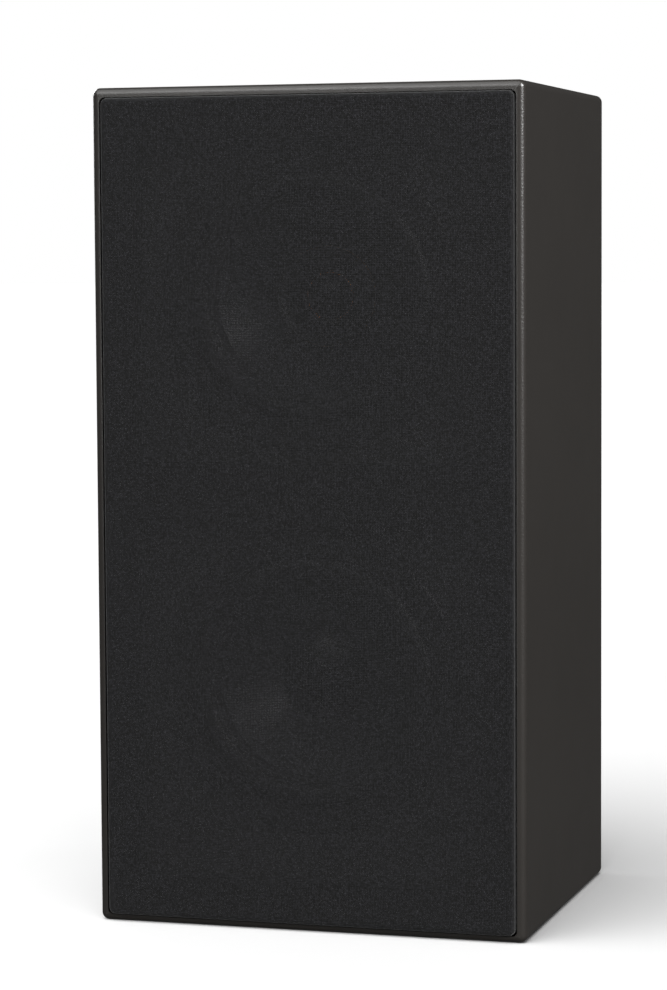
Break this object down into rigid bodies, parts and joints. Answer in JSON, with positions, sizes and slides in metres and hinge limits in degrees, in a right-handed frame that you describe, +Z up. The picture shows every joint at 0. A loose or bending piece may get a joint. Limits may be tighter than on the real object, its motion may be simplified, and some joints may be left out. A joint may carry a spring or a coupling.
{
  "type": "bookshelf speaker",
  "caption": "Ported bookshelf loudspeaker with soft-edged box, inset pull-off cloth grille, woofer, coaxial driver and rear binding posts.",
  "frame": {"origin": "middle of the base of the whole object", "axes": "+Z up, the grille faces -Y, +X to the right seen from the front"},
  "size_m": [0.24, 0.2026, 0.455],
  "materials": {
    "cabinet": "textured satin black coating on board",
    "raw_board": "bare medium density fibreboard",
    "baffle_black": "board sprayed matt black",
    "grille_cloth": "black knitted polyester, stretched",
    "black_plastic": "moulded ABS with fine texture",
    "basket_paint": "die-cast and powder coated black",
    "butyl_rubber": "smooth matt rubber",
    "woofer_cone": "mineral filled polypropylene",
    "dust_cap": "satin moulded cap",
    "copper": "enamelled copper wire",
    "former_film": "polyimide film",
    "spider_cloth": "resin dipped cotton",
    "zinc_steel": "zinc plated steel",
    "ferrite": "sintered ferrite, bare",
    "black_screw": "black oxide socket screw",
    "tin_terminal": "tinned brass on fibre strip",
    "dome_silk": "doped silk",
    "neodymium": "nickel plated magnet",
    "foam_gasket": "closed cell foam tape",
    "gold_post": "gold plated brass",
    "red_cap": "clear red knurled cap",
    "black_cap": "black knurled cap",
    "board_laminate": "glass epoxy circuit board",
    "capacitor_film": "yellow wrapped film capacitor",
    "resistor_cement": "cement cased resistor",
    "wadding": "polyester wadding",
    "wire_sheath": "pvc insulated lead",
    "nylon": "natural nylon"
  },
  "bodies": {
    "enclosure": {"side_panel_left": "cabinet", "side_panel_right": "cabinet", "top_panel": "cabinet", "bottom_panel": "cabinet", "front_baffle": "baffle_black", "rear_panel": "cabinet", "window_brace": "raw_board", "damping_wadding": "wadding", "baffle_magnets": "neodymium", "driver_gaskets": "foam_gasket", "driver_screws": "black_screw", "driver_terminals": "tin_terminal", "tweeter_horn_ring": "black_plastic", "tweeter_dome_surround": "dome_silk", "tweeter_cup": "zinc_steel", "tweeter_magnet": "neodymium", "port_tube": "black_plastic", "terminal_cup": "black_plastic", "cup_gasket": "foam_gasket", "cup_screws": "black_screw", "post_studs": "gold_post", "post_inner_nuts": "gold_post", "crossover_board": "board_laminate", "board_spacers": "nylon", "board_screws": "zinc_steel", "choke_core": "zinc_steel", "choke_windings": "copper", "crossover_capacitors": "capacitor_film", "crossover_resistors": "resistor_cement", "wiring_harness": "wire_sheath", "woofer_basket": "basket_paint", "woofer_trim_ring": "black_plastic", "woofer_surround": "butyl_rubber", "woofer_spider": "spider_cloth", "woofer_top_plate": "zinc_steel", "woofer_magnet": "ferrite", "woofer_yoke": "zinc_steel", "coax_basket": "basket_paint", "coax_trim_ring": "black_plastic", "coax_surround": "butyl_rubber", "coax_spider": "spider_cloth", "coax_top_plate": "zinc_steel", "coax_magnet": "ferrite", "coax_yoke": "zinc_steel"},
    "grille": {"grille_frame": "black_plastic", "grille_cloth": "grille_cloth", "grille_magnets": "neodymium"},
    "woofer_diaphragm": {"woofer_cone": "woofer_cone", "woofer_dust_cap": "dust_cap", "woofer_coil_former": "former_film", "woofer_coil_winding": "copper"},
    "coax_diaphragm": {"coax_cone": "woofer_cone", "coax_coil_former": "former_film", "coax_coil_winding": "copper"},
    "tweeter_diaphragm": {"tweeter_dome": "dome_silk", "tweeter_coil": "copper"},
    "washer_black": {"clamp_washer_black": "gold_post"},
    "nut_black": {"post_nut_black": "black_cap"},
    "washer_red": {"clamp_washer_red": "gold_post"},
    "nut_red": {"post_nut_red": "red_cap"}
  },
  "joints": [
    {"name": "grille_pull", "type": "slide", "parent": "enclosure", "child": "grille", "axis": [0, -1, 0], "range_m": [0, 0.06]},
    {"name": "woofer_travel", "type": "slide", "parent": "enclosure", "child": "woofer_diaphragm", "axis": [0, -1, 0], "range_m": [-0.006, 0.006], "stiffness_N_per_m": 1200, "deforming": ["woofer_surround", "woofer_spider"]},
    {"name": "coax_travel", "type": "slide", "parent": "enclosure", "child": "coax_diaphragm", "axis": [0, -1, 0], "range_m": [-0.005, 0.005], "stiffness_N_per_m": 1400, "deforming": ["coax_surround", "coax_spider"]},
    {"name": "tweeter_travel", "type": "slide", "parent": "enclosure", "child": "tweeter_diaphragm", "axis": [0, -1, 0], "range_m": [-0.0005, 0.0005], "stiffness_N_per_m": 1500, "deforming": ["tweeter_dome_surround"]},
    {"name": "washer_black_slide", "type": "slide", "parent": "enclosure", "child": "washer_black", "axis": [0, 1, 0], "range_m": [0, 0.00601]},
    {"name": "nut_black_turn", "type": "hinge", "parent": "washer_black", "child": "nut_black", "pos_m": [-0.019, 0.087, 0.12], "axis": [0, -1, 0], "range_deg": [-2160, 0]},
    {"name": "washer_red_slide", "type": "slide", "parent": "enclosure", "child": "washer_red", "axis": [0, 1, 0], "range_m": [0, 0.00601]},
    {"name": "nut_red_turn", "type": "hinge", "parent": "washer_red", "child": "nut_red", "pos_m": [0.019, 0.087, 0.12], "axis": [0, -1, 0], "range_deg": [-2160, 0]}
  ],
  "couplings": [
    {"joint": "washer_black_slide", "follows": "nut_black_turn", "m_per_rad": -0.00015915},
    {"joint": "washer_red_slide", "follows": "nut_red_turn", "m_per_rad": -0.00015915}
  ]
}
